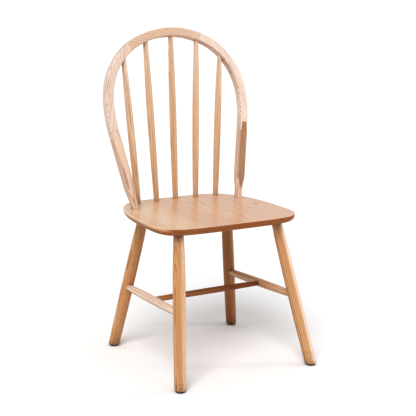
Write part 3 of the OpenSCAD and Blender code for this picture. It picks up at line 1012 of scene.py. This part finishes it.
def make_spindle(i, log, tone):
    """Spindle that swells towards its middle and is straight at the hoop, and pales on its way up."""
    foot, head = spindle_ends(i)
    length = (head - foot).length
    turned = length - SPINDLE_STRAIGHT
    radii = (SPINDLE_LOW_R, SPINDLE_MID_R, SPINDLE_TOP_R)
    profile = low_end(SPINDLE_LOW_R, -SPINDLE_HOLE)
    profile += [(swell(t, 0.55, *radii), t * turned) for t in steps(48)]
    profile += high_end(SPINDLE_TOP_R, length + SPINDLE_HOLE)
    place = along(foot, head)
    spindle = lathe("spindle", profile, place, 48)
    saw(spindle, place, log, fading(tone + 0.3, tone - 0.6, length))
    finish_piece(spindle, f"spindle_{i + 1}", "spindle_wood")


def leg_radius(t):
    """Leg radius at share t of its height."""
    k = LEG_MID_Z / SEAT_UNDER
    if t > k:
        return LEG_MID_R - (LEG_MID_R - LEG_TOP_R) * ((t - k) / (1 - k)) ** 2.6
    return LEG_MID_R - (LEG_MID_R - LEG_FOOT_R) * ((k - t) / k) ** 2


def make_leg(foot, top, side, name, log, tone):
    """Leg cut flat at its glide and at the seat, with a rounded foot and a tenon above."""
    low, high = on_leg(foot, top, side, 0), on_leg(foot, top, side, SEAT_UNDER)
    place = along(low, high)
    length = (high - low).length
    profile = [(LEG_FOOT_R, -JOINT_SPARE)]
    profile += [(leg_radius(t), t * length) for t in steps(64)]
    profile += [(LEG_TOP_R, length + JOINT_SPARE)]
    leg = lathe("leg", profile, place, 72)
    cut_flat(leg, (0, 0, GLIDE_T), (0, 0, -1))
    cut_flat(leg, (0, 0, SEAT_UNDER), (0, 0, 1))
    soften(leg, lambda p: abs(p.z - GLIDE_T) < 0.001 * MM, LEG_FOOT_ROUND, 4)
    tenon = [(LEG_TENON_R, length - LEG_TENON / 2)] + high_end(LEG_TENON_R, length + LEG_TENON)
    carve(leg, lathe("tenon", tenon, place, 48), "UNION")
    ends = side_stretcher_ends(side)
    if foot is BACK_FOOT:
        ends = ends[::-1]
    bore(leg, *ends, SIDE_END_R + FIT_GAP, SIDE_SHORT - END_GAP, PAST)
    bore(leg, low, low + UP, NAIL_R + FIT_GAP, 0, NAIL_LEN + END_GAP)
    saw(leg, place, log, tone)
    finish_piece(leg, "leg_" + name, "leg_wood")


def stretcher(p, q, short, end_r, mid_r, place):
    """Stick from p to q, short of both by short, that swells between its straight ends."""
    length = (q - p).length
    low, high = short + STRETCHER_STRAIGHT, length - short - STRETCHER_STRAIGHT
    profile = low_end(end_r, short)
    profile += [(swell(t, 0.5, end_r, mid_r, end_r), low + (high - low) * t) for t in steps(40)]
    profile += high_end(end_r, length - short)
    return lathe("stretcher", profile, place, 48)


def make_side_stretcher(side, name, log, tone):
    front, back = side_stretcher_ends(side)
    place = along(front, back)
    stick = stretcher(front, back, SIDE_SHORT, SIDE_END_R, SIDE_MID_R, place)
    ends = cross_stretcher_ends()
    if side == RIGHT:
        ends = ends[::-1]
    bore(stick, *ends, CROSS_END_R + FIT_GAP, CROSS_SHORT - END_GAP, PAST)
    saw(stick, place, log, tone)
    finish_piece(stick, "side_stretcher_" + name, "leg_wood")


def make_cross_stretcher(log, left_tone, right_tone):
    left, right = cross_stretcher_ends()
    place = along(left, right)
    stick = stretcher(left, right, CROSS_SHORT, CROSS_END_R, CROSS_MID_R, place)
    saw(stick, place, log, fading(left_tone, right_tone, (right - left).length))
    finish_piece(stick, "cross_stretcher", "leg_wood")


# ---------- glides ----------


def make_glide(foot, side, name):
    """Round glide with softened edges, and the hole for its sunk nail."""
    centre = on_leg(foot, foot, side, 0)
    profile = [(GLIDE_R - GLIDE_ROUND - GLIDE_FLAT, 0)]
    for t in steps(4):
        a = t * math.pi / 2
        profile.append((GLIDE_R - GLIDE_ROUND * (1 - math.sin(a)), GLIDE_ROUND * (1 - math.cos(a))))
    profile.append((GLIDE_R, GLIDE_T - GLIDE_BEVEL))
    profile.append((GLIDE_R - GLIDE_BEVEL, GLIDE_T))
    glide = lathe("glide", profile, Matrix.Translation(centre))
    bore(glide, centre, centre + UP, NAIL_R + FIT_GAP, -PAST, PAST)
    bore(glide, centre, centre + UP, NAIL_HEAD_R + FIT_GAP, -PAST, NAIL_HEAD_TOP)
    finish_piece(glide, "glide_" + name, "glide_plastic")


def make_nail(foot, side, name):
    """Nail driven up through a glide, with a domed head below and a point above."""
    dome = [(t * NAIL_HEAD_R, NAIL_HEAD_TOP - drop) for t, drop in NAIL_DOME]
    shank = [(NAIL_R + 0.2 * MM, NAIL_HEAD_TOP), (NAIL_R, NAIL_HEAD_TOP + 0.3 * MM)]
    point = [(NAIL_R, NAIL_LEN - 4 * MM), (0.1 * MM, NAIL_LEN)]
    place = Matrix.Translation(on_leg(foot, foot, side, 0))
    nail = lathe("nail", dome + shank + point, place, 32)
    finish_piece(nail, "glide_nail_" + name, "nail_steel")


# ---------- the chair ----------

# Each call gives a wooden piece's place in the log, as in BOARDS, and its tone. Places far apart along the
# log give pieces that don't repeat each other's grain.
for number, (log, tone) in enumerate(BOARDS):
    make_board(number, log, tone)

make_crown((0.018, 0.06, 0.2), 0.24)
make_shoulder(LEFT, "left", JOINT_LEFT, (0.026, 0.06, 5.0), -0.15)
make_shoulder(RIGHT, "right", JOINT_RIGHT, (0.05, 0.045, 6.0), -0.4)

# The right post's front face gets painted shade as a brown tone, while its carved neck and its inner side
# stay pale
PAINTED_SHADE_FRONT = painted_side_light((0, -1, 0), 11 * MM, 12.4 * MM, 0.35, 1.7)
make_post(LEFT, "left", (0.1, 0.09, 12.6), 0.4)
make_post(RIGHT, "right", (0.03, 0.06, 3.3), PAINTED_SHADE_FRONT)

for number in range(len(SPINDLES)):
    log = (0.04 + 0.006 * number, 0.03 - 0.012 * number, 1.1 * number)
    make_spindle(number, log, 0.2 + 0.15 * (number % 3))

# Both front legs get a painted highlight: a pale band on the side that faces the right and a little to the
# front, where the rim light falls
LIT_SIDE = (0.85, -0.53, 0)
LEFT_PAINTED_HIGHLIGHT = painted_side_light(LIT_SIDE, 5 * MM, 7 * MM, 0.75, -0.35)
RIGHT_PAINTED_HIGHLIGHT = painted_side_light(LIT_SIDE, 7 * MM, 9 * MM, 0.35, -0.6)
make_leg(FRONT_FOOT, FRONT_TOP, LEFT, "front_left", (0.045, 0.04, 0.5), LEFT_PAINTED_HIGHLIGHT)
make_leg(FRONT_FOOT, FRONT_TOP, RIGHT, "front_right", (0.05, -0.03, 1.5), RIGHT_PAINTED_HIGHLIGHT)
make_leg(BACK_FOOT, BACK_TOP, LEFT, "back_left", (-0.04, 0.05, 2.5), 0.75)
# The back right leg's deep tone is painted shade: it stands under the seat, out of the key light
make_leg(BACK_FOOT, BACK_TOP, RIGHT, "back_right", (0.06, 0.02, 3.5), 1.5)

# The left side stretcher's bleached tone is painted light, where the key light falls on it
make_side_stretcher(LEFT, "left", (0.05, 0.03, 7.1), -1.0)
make_side_stretcher(RIGHT, "right", (0.06, -0.02, 8.3), -0.2)
# The cross stretcher's dark tone, darkest towards the right, is painted shade from the seat above it
make_cross_stretcher((0.04, 0.05, 9.2), 1.2, 2.7)

for foot, depth in ((FRONT_FOOT, "front"), (BACK_FOOT, "back")):
    for side, width in ((LEFT, "_left"), (RIGHT, "_right")):
        make_glide(foot, side, depth + width)
        make_nail(foot, side, depth + width)

# ---------- stage and light ----------

FLOOR_HALF = 60
FLOOR_DROP = 0.5 * MM


def add_floor():
    """Pale matt floor, a hair below the glides."""
    mesh = bmesh.new()
    corners = ((-1, -1), (1, -1), (1, 1), (-1, 1))
    mesh.faces.new([mesh.verts.new((x * FLOOR_HALF, y * FLOOR_HALF, -FLOOR_DROP)) for x, y in corners])
    floor = add_object("floor", mesh)
    t = Tree("floor_paint")
    t.set(Base_Color=(0.86, 0.86, 0.86, 1), Roughness=0.9, Specular_IOR_Level=0.1)
    floor.data.materials.append(t.material)


def add_lamp(name, kind, strength, place):
    data = bpy.data.lights.new(name, kind)
    data.energy = strength
    lamp = bpy.data.objects.new(name, data)
    lamp.matrix_world = place
    bpy.context.scene.collection.objects.link(lamp)
    return data


def add_panel(name, at, target, size, power):
    """Rectangular lamp that stands at the point at and shines on target."""
    at = Vector(at)
    turn = (Vector(target) - at).to_track_quat("-Z", "Y").to_matrix().to_4x4()
    data = add_lamp(name, "AREA", power, Matrix.Translation(at) @ turn)
    data.shape = "RECTANGLE"
    data.size, data.size_y = size


def add_sun(name, way, strength, softness):
    """Even light that comes from the direction way, softness degrees wide."""
    place = Vector(way).to_track_quat("Z", "Y").to_matrix().to_4x4()
    add_lamp(name, "SUN", strength, place).angle = math.radians(softness)


def add_world(strength):
    """Plain white surroundings."""
    world = bpy.data.worlds.new("studio")
    world.use_nodes = True
    background = world.node_tree.nodes["Background"]
    background.inputs["Color"].default_value = (1, 1, 1, 1)
    background.inputs["Strength"].default_value = strength
    bpy.context.scene.world = world


add_floor()
add_world(0.78)
add_sun("key", (-0.8, -0.7, 1.3), 1.85, 35)
add_panel("rim", (2.0, -0.9, 0.6), (0.1, 0, 0.3), (0.25, 1.2), 10)
bpy.context.scene.view_settings.view_transform = "Standard"
bpy.context.scene.view_settings.gamma = 0.75
